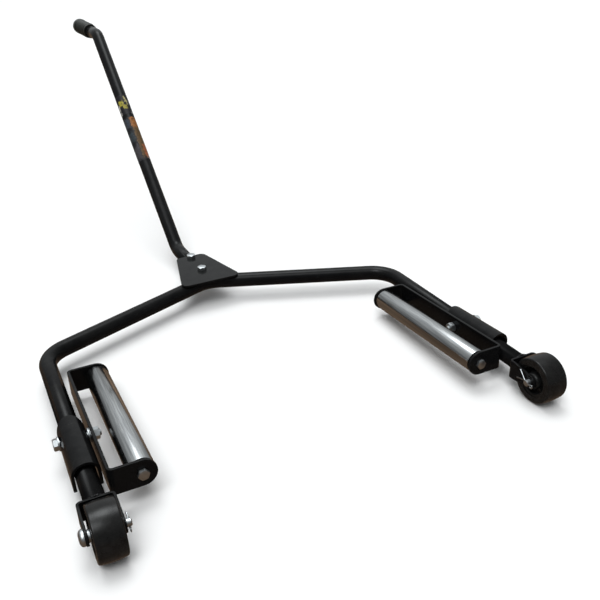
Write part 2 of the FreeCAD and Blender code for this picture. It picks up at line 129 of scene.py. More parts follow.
# ---- mesh helpers -------------------------------------------------------
def basis(along, hint=Z_AXIS):
    """A rotation whose Z runs along the given direction."""
    side = hint.cross(along)
    if side.length < 1e-6:
        side = X_AXIS.cross(along)
    side.normalize()
    return Matrix((side, along.cross(side).normalized(), along)).transposed()


def add_piece(name, vertices, faces, material, body, stands_for=(), smooth_deg=35):
    """A mesh piece, shaded smooth except at sharp edges, that rides on a body."""
    mesh = bpy.data.meshes.new(name)
    mesh.from_pydata([tuple(v) for v in vertices], [], faces)
    return finish_piece(name, mesh, material, body, stands_for, smooth_deg)


def finish_piece(name, mesh, material, body, stands_for=(), smooth_deg=35):
    work = bmesh.new()
    work.from_mesh(mesh)
    bmesh.ops.remove_doubles(work, verts=work.verts, dist=1e-6)
    bmesh.ops.dissolve_degenerate(work, edges=work.edges, dist=1e-6)
    bmesh.ops.recalc_face_normals(work, faces=work.faces)
    for edge in work.edges:
        edge.smooth = edge.is_manifold and edge.calc_face_angle(0) < math.radians(smooth_deg)
    for face in work.faces:
        face.smooth = True
    work.to_mesh(mesh)
    work.free()
    piece = bpy.data.objects.new(name, mesh)
    bpy.context.scene.collection.objects.link(piece)
    mesh.materials.append(material)
    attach(piece, body)
    if stands_for:
        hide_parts(*stands_for)
    return piece


class Shape:
    """Vertices and faces of one piece, gathered from several closed shells."""

    def __init__(self):
        self.vertices = []
        self.faces = []

    def add(self, vertices, faces):
        first = len(self.vertices)
        self.vertices += list(vertices)
        self.faces += [tuple(first + index for index in face) for face in faces]

    def piece(self, name, material, body, slot_name, stands_for=(), smooth_deg=35):
        return add_piece(name, self.vertices, self.faces, material, body, stands_for, smooth_deg)

    def lathe(self, profile, origin, along, steps=96, closed=False):
        """Turns (along, radius) points about an axis. A closed profile is a ring; an open one is capped."""
        turn = basis(along)
        rings = []
        for height, radius in profile:
            ring = []
            for i in range(steps):
                angle = 2 * math.pi * i / steps
                local = Vector((radius * math.cos(angle), radius * math.sin(angle), height))
                ring.append(origin + turn @ local)
            rings.append(ring)
        vertices = [vertex for ring in rings for vertex in ring]
        faces = []
        count = len(rings)
        for row in range(count if closed else count - 1):
            after = (row + 1) % count
            for i in range(steps):
                j = (i + 1) % steps
                faces.append((row * steps + i, row * steps + j, after * steps + j, after * steps + i))
        if not closed:
            faces.append(tuple(range(steps)))
            faces.append(tuple((count - 1) * steps + i for i in range(steps)))
        self.add(vertices, faces)

    def rod(self, path, radius, steps=12, wobble=None):
        """A round rod through a list of points, capped at both ends."""
        rows = []
        for k, point in enumerate(path):
            before = path[max(k - 1, 0)]
            after = path[min(k + 1, len(path) - 1)]
            turn = basis((after - before).normalized(), Vector((0.31, 0.17, 0.93)).normalized())
            row = []
            for i in range(steps):
                angle = 2 * math.pi * i / steps
                size = radius * (wobble(k, angle) if wobble else 1.0)
                row.append(point + turn @ Vector((size * math.cos(angle), size * math.sin(angle), 0)))
            rows.append(row)
        vertices = [vertex for row in rows for vertex in row]
        faces = []
        for row in range(len(rows) - 1):
            for i in range(steps):
                j = (i + 1) % steps
                faces.append((row * steps + i, row * steps + j, (row + 1) * steps + j, (row + 1) * steps + i))
        faces.append(tuple(range(steps)))
        faces.append(tuple((len(rows) - 1) * steps + i for i in range(steps)))
        self.add(vertices, faces)

    def thread(self, start, along, length, radius, pitch, steps=40):
        """A screw thread of the given length, closed by a chamfered tip at its far end."""
        turn = basis(along)
        depth = pitch * 0.58
        form = (0.0, 0.0, 1.0, 1.0)
        where = (0.0, 0.10, 0.50, 0.62)
        turns = int(length / pitch) + 2
        rows = []
        for i in range(steps + 1):
            angle = 2 * math.pi * i / steps
            row = []
            for t in range(-1, turns):
                for form_depth, form_place in zip(form, where):
                    height = (t + form_place + i / steps) * pitch
                    held = min(max(height, 0.0), length)
                    size = radius - depth * form_depth
                    room = (length - held) * 0.9 + radius - depth * 1.3
                    size = min(size, room)
                    local = Vector((size * math.cos(angle), size * math.sin(angle), held))
                    row.append(start + turn @ local)
            rows.append(row)
        width = len(rows[0])
        vertices = [vertex for row in rows for vertex in row]
        faces = []
        for i in range(steps):
            for k in range(width - 1):
                faces.append((i * width + k, (i + 1) * width + k, (i + 1) * width + k + 1, i * width + k + 1))
        self.add(vertices, faces)
        tip_r = radius - depth * 1.3
        self.lathe([(length - pitch * 0.5, tip_r), (length, tip_r)], start, along, steps)

    def hexagon(self, flats, height, start, along, bore=0.0, both_ends=False, washer_face=0.0, spin=0.0):
        """A hexagon with its corners turned off at the outer end, or at both ends of a nut."""
        turn = basis(along)
        inner_r = flats / 2 * 0.95
        steps = 72
        slope = math.tan(math.radians(30))

        def hex_radius(angle):
            sixth = math.pi / 3
            return flats / 2 / math.cos((angle % sixth) - sixth / 2)

        def ring(height_at, size_at):
            made = []
            for i in range(steps):
                angle = 2 * math.pi * i / steps
                size = size_at(angle)
                lift = height_at(angle)
                local = Vector((size * math.cos(angle + spin), size * math.sin(angle + spin), lift))
                made.append(start + turn @ local)
            return made

        def crown(angle):
            return (hex_radius(angle) - inner_r) * slope

        rings = []
        if bore:
            rings.append(ring(lambda a: 0.0, lambda a: bore))
        if washer_face:
            rings.append(ring(lambda a: 0.0, lambda a: inner_r))
            rings.append(ring(lambda a: washer_face, lambda a: inner_r))
            rings.append(ring(lambda a: washer_face, hex_radius))
        elif both_ends:
            rings.append(ring(lambda a: 0.0, lambda a: inner_r))
            rings.append(ring(crown, hex_radius))
        else:
            rings.append(ring(lambda a: 0.0, hex_radius))
        rings.append(ring(lambda a: height - crown(a), hex_radius))
        rings.append(ring(lambda a: height, lambda a: inner_r))
        if bore:
            rings.append(ring(lambda a: height, lambda a: bore + 0.0006))
            rings.append(ring(lambda a: height - 0.0006, lambda a: bore))
        vertices = [vertex for row in rings for vertex in row]
        faces = []
        count = len(rings)
        for row in range(count if bore else count - 1):
            after = (row + 1) % count
            for i in range(steps):
                j = (i + 1) % steps
                faces.append((row * steps + i, row * steps + j, after * steps + j, after * steps + i))
        if not bore:
            faces.append(tuple(range(steps)))
            faces.append(tuple((count - 1) * steps + i for i in range(steps)))
        self.add(vertices, faces)


    def washer(self, points, origin, along, bore):
        """A flat ring with its outer edges eased, as long and as wide as the given points."""
        low, high = reach(points, origin, along)
        outer = widest(points, origin, along)
        ease = 0.35 * MM
        profile = [(low, bore), (low, outer - ease), (low + ease, outer),
                   (high - ease, outer), (high, outer - ease), (high, bore)]
        self.lathe(profile, origin, along, 72, closed=True)

    def bolt(self, size, origin, along, tip, seat, top, thread_length, spin=0.0):
        """A hex bolt on a line, with its head towards along: tip, seat and top are places on that line."""
        self.hexagon(size["flats"], top - seat, origin + along * seat, along, washer_face=0.5 * MM, spin=spin)
        self.lathe([(tip + thread_length, size["r"]), (seat + MM, size["r"])], origin, along, 48)
        thread_start = origin + along * (tip + thread_length)
        self.thread(thread_start, along * -1, thread_length, size["r"], size["pitch"])

    def nut(self, size, points, origin, along, spin=0.0):
        low, high = reach(points, origin, along)
        self.hexagon(size["flats"], high - low, origin + along * low, along,
                     bore=size["r"], both_ends=True, spin=spin)


# ---- material helpers ---------------------------------------------------
class Surface:
    """A Principled material with short calls for the nodes that feed it."""

    def __init__(self, name):
        self.material = bpy.data.materials.new(name)
        self.material.use_nodes = True
        tree = self.material.node_tree
        self.nodes = tree.nodes
        self.links = tree.links
        self.shader = self.nodes["Principled BSDF"]
        self.place = self.nodes.new("ShaderNodeTexCoord").outputs["Object"]

    def value(self, **sockets):
        for name, number in sockets.items():
            self.shader.inputs[name.replace("_", " ")].default_value = number

    def stretched(self, scale, turn=(0, 0, 0), move=(0, 0, 0)):
        mapping = self.nodes.new("ShaderNodeMapping")
        mapping.inputs["Scale"].default_value = scale
        mapping.inputs["Rotation"].default_value = turn
        mapping.inputs["Location"].default_value = move
        self.links.new(self.place, mapping.inputs["Vector"])
        return mapping.outputs["Vector"]

    def noise(self, scale, detail=3.0, roughness=0.5, place=None):
        node = self.nodes.new("ShaderNodeTexNoise")
        node.inputs["Scale"].default_value = scale
        node.inputs["Detail"].default_value = detail
        node.inputs["Roughness"].default_value = roughness
        self.links.new(place or self.place, node.inputs["Vector"])
        return node.outputs["Fac"]

    def cells(self, scale, place=None):
        node = self.nodes.new("ShaderNodeTexVoronoi")
        node.inputs["Scale"].default_value = scale
        self.links.new(place or self.place, node.inputs["Vector"])
        return node.outputs["Distance"]

    def fit(self, socket, low, high, to_low, to_high):
        node = self.nodes.new("ShaderNodeMapRange")
        for name, number in (("From Min", low), ("From Max", high), ("To Min", to_low), ("To Max", to_high)):
            node.inputs[name].default_value = number
        self.links.new(socket, node.inputs["Value"])
        return node.outputs["Result"]

    def maths(self, kind, a, b=0.0):
        node = self.nodes.new("ShaderNodeMath")
        node.operation = kind
        for socket, value in zip(node.inputs, (a, b)):
            if isinstance(value, (int, float)):
                socket.default_value = value
            else:
                self.links.new(value, socket)
        return node.outputs["Value"]

    def blend(self, factor, first, second):
        """A colour between two, each a colour tuple or a socket."""
        node = self.nodes.new("ShaderNodeMix")
        node.data_type = "RGBA"
        self.links.new(factor, node.inputs["Factor"])
        for socket, value in ((node.inputs["A"], first), (node.inputs["B"], second)):
            if isinstance(value, tuple):
                socket.default_value = (*value, 1)
            else:
                self.links.new(value, socket)
        return node.outputs["Result"]

    def upward(self):
        """1 where the surface faces up, 0 where it doesn't."""
        geometry = self.nodes.new("ShaderNodeNewGeometry")
        split = self.nodes.new("ShaderNodeSeparateXYZ")
        self.links.new(geometry.outputs["Normal"], split.inputs["Vector"])
        return self.fit(split.outputs["Z"], 0.2, 1.0, 0.0, 1.0)

    def axes(self, place=None):
        split = self.nodes.new("ShaderNodeSeparateXYZ")
        self.links.new(place or self.place, split.inputs["Vector"])
        return split.outputs["X"], split.outputs["Y"], split.outputs["Z"]

    def colour(self, socket):
        self.links.new(socket, self.shader.inputs["Base Color"])

    def roughness(self, socket):
        self.links.new(socket, self.shader.inputs["Roughness"])

    def bump(self, height, strength, distance=0.001, under=None):
        node = self.nodes.new("ShaderNodeBump")
        node.inputs["Strength"].default_value = strength
        node.inputs["Distance"].default_value = distance
        self.links.new(height, node.inputs["Height"])
        if under:
            self.links.new(under, node.inputs["Normal"])
        self.links.new(node.outputs["Normal"], self.shader.inputs["Normal"])
        return node.outputs["Normal"]


# ---- materials ----------------------------------------------------------
def black_paint():
    """Semi-gloss black powder coat: orange peel, faint cloudiness, a few dust specks and rubbed spots."""
    s = Surface("black_powder_coat")
    base = s.blend(s.fit(s.noise(14, 4), 0.35, 0.7, 0.0, 1.0),
                   (0.0036, 0.0036, 0.0040), (0.0066, 0.0065, 0.0066))
    specks = s.fit(s.noise(420, 2, 0.6), 0.66, 0.74, 0.0, 0.45)
    worn = s.maths("MULTIPLY", specks, s.fit(s.noise(30, 3), 0.5, 0.65, 0.0, 1.0))
    base = s.blend(worn, base, (0.060, 0.058, 0.055))
    dust = s.maths("MULTIPLY", s.upward(), s.fit(s.noise(60, 5, 0.65), 0.35, 0.8, 0.0, 0.045))
    s.colour(s.blend(dust, base, (0.20, 0.195, 0.185)))
    s.roughness(s.maths("ADD", s.fit(s.noise(45, 4), 0.3, 0.7, 0.13, 0.22), s.maths("MULTIPLY", dust, 0.5)))
    peel = s.bump(s.noise(520, 2, 0.4), 0.06, 0.0005)
    s.bump(s.noise(90, 3), 0.05, 0.001, peel)
    s.value(Specular_IOR_Level=0.12)
    return s.material


def zinc_plate():
    """Bright zinc plate with a faint cloudy tint, fine scratches and grime in small spots."""
    s = Surface("bright_zinc_plate")
    cloud = s.fit(s.noise(180, 4, 0.6), 0.3, 0.75, 0.0, 1.0)
    base = s.blend(cloud, (0.50, 0.53, 0.55), (0.64, 0.655, 0.66))
    soil = s.fit(s.noise(520, 3, 0.7), 0.58, 0.80, 0.0, 0.6)
    s.colour(s.blend(soil, base, (0.22, 0.20, 0.18)))
    s.roughness(s.fit(s.noise(300, 4), 0.3, 0.75, 0.30, 0.48))
    scratches = s.noise(900, 2, 0.5, s.stretched((0.15, 1.0, 1.0)))
    s.bump(scratches, 0.12, 0.0003)
    s.value(Metallic=1.0)
    return s.material


def bright_roller():
    """Polished plated tube with lines drawn along it, painted dark reflection bands along its length and a
    little handling haze.
    """
    s = Surface("bright_plated_roller")
    lines = s.noise(330, 4, 0.6, s.stretched((1.0, 0.012, 1.0)))
    # Painted reflection: broad bands along the tube darken its colour, standing in for dark reflected bands.
    painted_reflection_bands = s.noise(85, 3, 0.6, s.stretched((1.0, 0.02, 1.0)))
    base = s.blend(s.fit(lines, 0.35, 0.7, 0.0, 1.0), (0.36, 0.37, 0.38), (0.60, 0.61, 0.61))
    base = s.blend(s.fit(painted_reflection_bands, 0.52, 0.68, 0.0, 0.6), base, (0.20, 0.20, 0.20))
    freckles = s.fit(s.noise(640, 3, 0.7, s.stretched((1.0, 0.35, 1.0))), 0.62, 0.76, 0.0, 0.5)
    s.colour(s.blend(freckles, base, (0.20, 0.195, 0.185)))
    haze = s.fit(s.noise(38, 4, 0.6), 0.35, 0.75, 0.0, 0.08)
    s.roughness(s.maths("ADD", s.fit(lines, 0.3, 0.75, 0.08, 0.20), haze))
    s.bump(lines, 0.10, 0.0003)
    s.value(Metallic=1.0)
    return s.material


def tread_rubber():
    """Hard black wheel rubber: satin, a little dusty, with fine pitting."""
    s = Surface("wheel_tread_rubber")
    patches = s.fit(s.noise(70, 5, 0.6), 0.3, 0.75, 0.0, 1.0)
    base = s.blend(patches, (0.0052, 0.0050, 0.0050), (0.0135, 0.0130, 0.0125))
    grit = s.fit(s.noise(900, 3, 0.7), 0.58, 0.75, 0.0, 0.25)
    s.colour(s.blend(grit, base, (0.045, 0.042, 0.039)))
    s.roughness(s.fit(s.noise(120, 4, 0.6), 0.3, 0.75, 0.13, 0.27))
    fine = s.bump(s.noise(1100, 3, 0.6), 0.05, 0.0003)
    s.bump(s.noise(160, 3), 0.08, 0.001, fine)
    s.value(Specular_IOR_Level=0.25)
    return s.material


def grip_rubber(axis_height, body_r, crest_r):
    """Matte grip rubber, grained and olive, with a painted highlight: the crests of its rings are coloured
    unevenly pale all round.
    """
    s = Surface("grip_rubber")
    patches = s.fit(s.noise(60, 5, 0.6), 0.3, 0.75, 0.0, 1.0)
    base = s.blend(patches, (0.0060, 0.0064, 0.0052), (0.0120, 0.0126, 0.0104))
    x, _, z = s.axes(s.place)
    rise = s.maths("SUBTRACT", z, axis_height)
    radius = s.maths("SQRT", s.maths("ADD", s.maths("MULTIPLY", x, x), s.maths("MULTIPLY", rise, rise)))
    # Painted highlight: the crests of the rings, found by their distance from the grip's axis, are blended
    # towards a pale colour.
    crest = s.fit(radius, body_r + 0.6 * (crest_r - body_r), crest_r, 0.0, 1.0)
    painted_crest_highlight = s.maths("MULTIPLY", crest, s.fit(s.noise(160, 4, 0.7), 0.35, 0.7, 0.35, 1.0))
    base = s.blend(s.maths("MULTIPLY", painted_crest_highlight, 0.3), base, (0.11, 0.115, 0.10))
    dust = s.maths("MULTIPLY", s.upward(), s.fit(s.noise(240, 4, 0.7), 0.35, 0.8, 0.0, 0.16))
    s.colour(s.blend(dust, base, (0.15, 0.15, 0.14)))
    s.roughness(s.fit(s.noise(200, 4), 0.3, 0.75, 0.34, 0.52))
    s.bump(s.cells(850), 0.12, 0.0004)
    s.value(Specular_IOR_Level=0.32)
    return s.material


def black_plastic():
    """Moulded black nylon with a slight sheen."""
    s = Surface("moulded_black_nylon")
    s.colour(s.blend(s.fit(s.noise(90, 4), 0.3, 0.75, 0.0, 1.0),
                     (0.0055, 0.0055, 0.0055), (0.0125, 0.012, 0.012)))
    s.roughness(s.fit(s.noise(160, 3), 0.3, 0.7, 0.30, 0.46))
    s.bump(s.noise(700, 3), 0.10, 0.0004)
    s.value(Specular_IOR_Level=0.3)
    return s.material


def film(name, ground, patches):
    """Printed film: a ground colour with soft-edged patches, each (u0, u1, v0, v1, colour), and light scuffs.

    u runs along the film from 0 to 1 and v around it from -1 to 1, both from the UV map.
    """
    s = Surface(name)
    uv = s.nodes.new("ShaderNodeUVMap").outputs["UV"]
    u, v, _ = s.axes(uv)
    u = s.maths("ADD", u, s.fit(s.noise(170, 3), 0.3, 0.7, -0.05, 0.05))
    v = s.maths("ADD", v, s.fit(s.noise(210, 3), 0.3, 0.7, -0.09, 0.09))
    colour = s.blend(s.fit(s.noise(160, 4), 0.3, 0.7, 0.0, 1.0), ground, tuple(1.5 * part for part in ground))
    for low_u, high_u, low_v, high_v, paint in patches:
        sides = [s.fit(u, low_u, low_u + 0.03, 0.0, 1.0), s.fit(u, high_u - 0.03, high_u, 1.0, 0.0),
                 s.fit(v, low_v, low_v + 0.05, 0.0, 1.0), s.fit(v, high_v - 0.05, high_v, 1.0, 0.0)]
        inside = s.maths("MULTIPLY", s.maths("MULTIPLY", sides[0], sides[1]),
                         s.maths("MULTIPLY", sides[2], sides[3]))
        colour = s.blend(inside, colour, paint)
    scuffs = s.fit(s.noise(170, 6, 0.75), 0.44, 0.66, 0.0, 0.75)
    s.colour(s.blend(scuffs, colour, (0.016, 0.015, 0.015)))
    s.roughness(s.fit(s.noise(220, 4), 0.3, 0.7, 0.28, 0.5))
    s.bump(s.noise(300, 3), 0.12, 0.0005)
    s.value(Specular_IOR_Level=0.16)
    return s.material


def upper_film():
    """Dark film with a mottled yellow patch, a broken cream line beside it and pale worn margins."""
    yellow = (0.40, 0.34, 0.045)
    cream = (0.66, 0.58, 0.26)
    pale = (0.50, 0.47, 0.43)
    return film("yellow_printed_film", (0.0085, 0.0070, 0.0095), (
        (0.42, 0.74, -0.60, -0.10, yellow),
        (0.52, 0.60, -0.42, -0.30, (0.02, 0.02, 0.01)),
        (0.26, 0.46, -0.24, 0.14, yellow),
        (0.62, 0.98, 0.03, 0.17, cream),
        (0.44, 0.76, 0.15, 0.29, cream),
        (0.24, 0.54, -0.86, -0.62, pale),
        (0.02, 0.22, -0.84, -0.62, pale),
        (0.02, 0.14, 0.32, 0.50, (0.75, 0.72, 0.68)),
    ))


def lower_film():
    """Dark film with three scuffed grey panels and a tan and orange band beside them."""
    orange = (0.35, 0.128, 0.030)
    tan = (0.125, 0.070, 0.026)
    return film("orange_printed_film", (0.0080, 0.0080, 0.0095), (
        (0.02, 0.36, -0.98, -0.16, (0.056, 0.050, 0.056)),
        (0.43, 0.66, -0.98, -0.16, (0.036, 0.047, 0.055)),
        (0.74, 0.97, -0.98, -0.18, (0.042, 0.047, 0.058)),
        (0.78, 0.94, -0.44, -0.34, (0.035, 0.075, 0.130)),
        (0.44, 0.62, -0.70, -0.62, (0.09, 0.05, 0.04)),
        (0.03, 0.97, -0.12, 0.90, tan),
        (0.74, 0.98, -0.12, 0.55, orange),
        (0.05, 0.36, 0.12, 0.80, (0.33, 0.10, 0.04)),
        (0.03, 0.08, 0.30, 0.50, (0.60, 0.55, 0.50)),
    ))


def floor_material():
    s = Surface("pale_floor")
    s.colour(s.blend(s.fit(s.noise(3, 3), 0.3, 0.7, 0.0, 1.0), (0.90, 0.875, 0.865), (0.92, 0.895, 0.885)))
    s.roughness(s.fit(s.noise(5, 3), 0.3, 0.7, 0.75, 0.85))
    return s.material


PAINT = black_paint()
ZINC = zinc_plate()
ROLLER = bright_roller()
TREAD = tread_rubber()
PLASTIC = black_plastic()


# ---- carried-over CAD nodes ---------------------------------------------
def dress(node, material, edge_mm=0.0):
    """Gives a CAD node its material, smooth shading, and softly rounded edges."""
    thing = frame["nodes"][node]
    thing.data.materials.clear()
    thing.data.materials.append(material)
    weld = thing.modifiers.new("merge", "WELD")
    weld.merge_threshold = 0.00002
    if edge_mm:
        bevel = thing.modifiers.new("edges", "BEVEL")
        bevel.width = edge_mm * MM
        bevel.segments = 2
        bevel.limit_method = "ANGLE"
        bevel.angle_limit = math.radians(40)
        even = thing.modifiers.new("even", "WEIGHTED_NORMAL")
        even.mode = "FACE_AREA"
        even.weight = 100
    for polygon in thing.data.polygons:
        polygon.use_smooth = True
    return thing


for plain_node in ("frame_tube", "handle_tube"):
    dress(plain_node, PAINT)
dress("gusset_plate", PAINT, 0.7)
for side, _ in SIDES:
    dress(f"{side}_fork", PAINT, 0.6)
    dress(f"{side}_saddle", PAINT, 0.9)
    dress(f"{side}_roller_bracket", PAINT, 0.7)
    dress(f"{side}_wheel_bush", ZINC)
    dress(f"{side}_cotter_pin", ZINC)


# ---- gusset fasteners ---------------------------------------------------
def gusset_fasteners():
    """Two upright bolts with their washers and nuts, front bolt first."""
    bolts = Shape()
    washers = Shape()
    nuts = Shape()
    bolt_groups = split_along(points_of("gusset_bolts"), Y_AXIS, 2)
    washer_groups = split_along(points_of("gusset_washers"), Y_AXIS, 2)
    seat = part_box("gusset_plate")[1].z
    nut_groups = split_along(points_of("gusset_nuts"), Y_AXIS, 2)
    for group, washer_points, nut_points, turn in zip(bolt_groups, washer_groups, nut_groups, (0.32, 0.95)):
        centre = middle_of(group)
        origin = Vector((centre.x, centre.y, 0))
        tip, top = reach(group, origin, Z_AXIS)
        thread_top = reach(washer_points, origin, Z_AXIS)[1]
        bolts.bolt(M12, origin, Z_AXIS, tip, seat, top, thread_top - tip, turn)
        nuts.nut(M12, nut_points, origin, Z_AXIS, 0.2)
        washers.washer(washer_points, origin, Z_AXIS, M12["r"])
    bolts.piece("threaded_gusset_bolts", ZINC, "frame", "zinc_plate", ["gusset_bolts"])
    washers.piece("eased_gusset_washers", ZINC, "frame", "zinc_plate", ["gusset_washers"])
    nuts.piece("chamfered_gusset_nuts", ZINC, "frame", "zinc_plate", ["gusset_nuts"])


# ---- handle labels and grip ---------------------------------------------
def handle_label(node, material, name):
    """A thin film wrapped round the shaft's upper side, with rounded corners and a UV map."""
    origin, along = handle_line()
    upward = X_AXIS.cross(along)
    points = points_of(node)
    low, high = reach(points, origin, along)
    outer = widest(points, origin, along)
    half = max(abs(math.atan2((point - origin).x, (point - origin).dot(upward))) for point in points)
    corner = 6 * MM
    rows = 40
    columns = 32
    vertices = []
    places = []
    for radius in (outer, TUBE_R + 0.02 * MM):
        for i in range(rows + 1):
            u = i / rows
            from_end = min(u, 1 - u) * (high - low)
            inset = corner - math.sqrt(max(corner ** 2 - max(corner - from_end, 0.0) ** 2, 0.0))
            row_half = half - inset / TUBE_R
            for j in range(columns + 1):
                angle = row_half * (2 * j / columns - 1)
                spoke = upward * math.cos(angle) + X_AXIS * math.sin(angle)
                vertices.append(origin + along * (low + (high - low) * u) + spoke * radius)
                places.append((u, angle / half))
    wide = columns + 1
    layer = (rows + 1) * wide
    faces = []
    for i in range(rows):
        for j in range(columns):
            a = i * wide + j
            faces.append((a, a + 1, a + 1 + wide, a + wide))
            faces.append((layer + a, layer + a + wide, layer + a + 1 + wide, layer + a + 1))
    rim = [(0, j) for j in range(columns)] + [(i, columns) for i in range(rows)]
    rim += [(rows, j) for j in range(columns, 0, -1)] + [(i, 0) for i in range(rows, 0, -1)]
    for (i, j), (k, m) in zip(rim, rim[1:] + rim[:1]):
        a = i * wide + j
        b = k * wide + m
        faces.append((a, layer + a, layer + b, b))
    mesh = bpy.data.meshes.new(name)
    mesh.from_pydata([tuple(vertex) for vertex in vertices], [], faces)
    layer_uv = mesh.uv_layers.new(name="UVMap")
    for loop in mesh.loops:
        layer_uv.data[loop.index].uv = places[loop.vertex_index]
    return finish_piece(name, mesh, material, "frame", [node])


def ribbed_grip():
    """A rubber sleeve with a smooth collar, raised finger rings, a wider end and a domed cap."""
    points = points_of("handle_grip")
    centre = middle_of(points)
    low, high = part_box("handle_grip")
    origin = Vector((centre.x, low.y, centre.z))
    length = high.y - low.y
    end_r = widest(points, origin, Y_AXIS)
    collar_r = end_r - 2.4 * MM
    body_r = end_r - 4.0 * MM
    crest_r = end_r - 0.8 * MM
    ring_pitch = 18 * MM
    ring_count = 6
    ring_half = 5.6 * MM
    dome = 15 * MM
    profile = [(0.0, TUBE_R), (0.0, collar_r - 0.8 * MM), (0.8 * MM, collar_r), (9 * MM, collar_r),
               (10 * MM, body_r), (15 * MM, body_r)]
    for i in range(ring_count):
        middle = 22 * MM + i * ring_pitch
        for part in (-1.0, -0.75, -0.45, 0.0, 0.45, 0.75, 1.0):
            lift = math.cos(part * math.pi / 2)
            profile.append((middle + part * ring_half, body_r + (crest_r - body_r) * lift))
    profile += [(128 * MM, body_r), (131 * MM, end_r - 0.8 * MM), (133 * MM, end_r)]
    for i in range(13):
        turn = math.pi / 2 * i / 12
        profile.append((length - dome + dome * math.sin(turn), end_r - dome + dome * math.cos(turn)))
    profile.append((length, 2 * MM))
    shape = Shape()
    shape.lathe(profile, origin, Y_AXIS, 120)
    shape.piece("ribbed_handle_grip", grip_rubber(centre.z, body_r, crest_r), "frame", "grip_rubber",
                ["handle_grip"])


# ---- wheels, axles and forks --------------------------------------------
def wheel_tread(side):
    """A crowned tyre with round shoulders and a small step where each side wall meets the hub."""
    origin, _ = joint_line(f"{side}_wheel_spin")
    points = points_of(f"{side}_wheel_tread")
    low, high = reach(points, origin, X_AXIS)
    outer = widest(points, origin, X_AXIS)
    inner = widest(points_of(f"{side}_wheel_hub"), origin, X_AXIS)
    middle = (low + high) / 2
    half = (high - low) / 2
    shoulder = 3.0 * MM
    crown = 1.8 * MM
    one_side = [(half * part, outer - crown * part ** 2) for part in (0.0, 0.2, 0.4, 0.6)]
    for i in range(11):
        turn = math.pi / 2 * i / 10
        one_side.append((half - shoulder + shoulder * math.sin(turn),
                         outer - crown * 0.7 - shoulder + shoulder * math.cos(turn)))
    wall = inner + 2.2 * MM
    one_side += [(half, wall + 1.0 * MM), (half - 0.8 * MM, wall), (half - 0.8 * MM, inner)]
    mirrored_side = [(-along, radius) for along, radius in reversed(one_side[1:])]
    profile = [(middle + along, radius) for along, radius in mirrored_side + one_side]
    shape = Shape()
    shape.lathe(profile, origin, X_AXIS, 144, closed=True)
    shape.piece(f"{side}_moulded_tread", TREAD, f"{side}_wheel", "tread_rubber", [f"{side}_wheel_tread"])


def wheel_hub(side):
    """A moulded core: rim, dished web with eight thin ribs, and a boss round the bush."""
    origin, _ = joint_line(f"{side}_wheel_spin")
    points = points_of(f"{side}_wheel_hub")
    low, high = reach(points, origin, X_AXIS)
    outer = widest(points, origin, X_AXIS) - 0.05 * MM
    bore = widest(points_of(f"{side}_wheel_bush"), origin, X_AXIS)
    middle = (low + high) / 2
    half = (high - low) / 2
    rim_half = half - 2.4 * MM
    web = 9 * MM
    boss_r = 14.5 * MM
    rim_r = outer - 4.2 * MM
    one_side = [(half, bore), (half, boss_r - 2.2 * MM), (half - 1.2 * MM, boss_r - 0.8 * MM),
                (half - 3.0 * MM, boss_r), (web + 2 * MM, boss_r + 1.2 * MM), (web, boss_r + 3.2 * MM),
                (web, rim_r - 3 * MM), (web + 2 * MM, rim_r - 0.8 * MM), (rim_half - 1 * MM, rim_r),
                (rim_half, rim_r + 1.0 * MM), (rim_half, outer)]
    other_side = [(-along, radius) for along, radius in reversed(one_side)]
    shape = Shape()
    profile = [(middle + along, radius) for along, radius in one_side + other_side]
    shape.lathe(profile, origin, X_AXIS, 120, closed=True)
    rib_half = 1.1 * MM
    rib_rise = 3.5 * MM
    rib_count = 8
    for k in range(rib_count):
        angle = 2 * math.pi * k / rib_count
        out = Y_AXIS * math.cos(angle) + Z_AXIS * math.sin(angle)
        across = Z_AXIS * math.cos(angle) - Y_AXIS * math.sin(angle)
        centre = origin + X_AXIS * middle
        corners = []
        for radius in (boss_r + 0.4 * MM, rim_r + 0.4 * MM):
            for way in (-1, 1):
                for height in (-web - rib_rise, web + rib_rise):
                    corners.append(centre + out * radius + across * rib_half * way + X_AXIS * height)
        shape.add(corners, [(0, 1, 3, 2), (4, 6, 7, 5), (0, 4, 5, 1),
                            (2, 3, 7, 6), (0, 2, 6, 4), (1, 5, 7, 3)])
    shape.piece(f"{side}_ribbed_hub", PLASTIC, f"{side}_wheel", "black_plastic", [f"{side}_wheel_hub"])


def axle(side, way):
    """The headed pin and its washers. Along is outward, from the cotter's end to the head."""
    origin, _ = joint_line(f"{side}_wheel_spin")
    along = X_AXIS * way
    pin_points = points_of(f"{side}_axle_pin")
    tail, top = reach(pin_points, origin, along)
    seat = reach(points_of(f"{side}_fork"), origin, along)[1]
    head_r = widest(pin_points, origin, along)
    shank_r = M12["r"]
    edge = 0.32 * (top - seat)
    profile = [(tail, shank_r - 1.4 * MM), (tail + 1.2 * MM, shank_r), (seat, shank_r),
               (seat, head_r - 0.7 * MM), (seat + 0.7 * MM, head_r)]
    for i in range(11):
        turn = math.pi / 2 * i / 10
        profile.append((seat + edge + (top - seat - edge) * math.sin(turn),
                        head_r * (0.28 + 0.72 * math.cos(turn))))
    pin = Shape()
    pin.lathe(profile, origin, along, 72)
    pin.piece(f"{side}_domed_axle_pin", ZINC, "frame", "zinc_plate", [f"{side}_axle_pin"])
    washers = Shape()
    for points in split_along(points_of(f"{side}_axle_washers"), along, 2):
        washers.washer(points, origin, along, shank_r + 0.1 * MM)
    washers.piece(f"{side}_eased_axle_washers", ZINC, "frame", "zinc_plate", [f"{side}_axle_washers"])


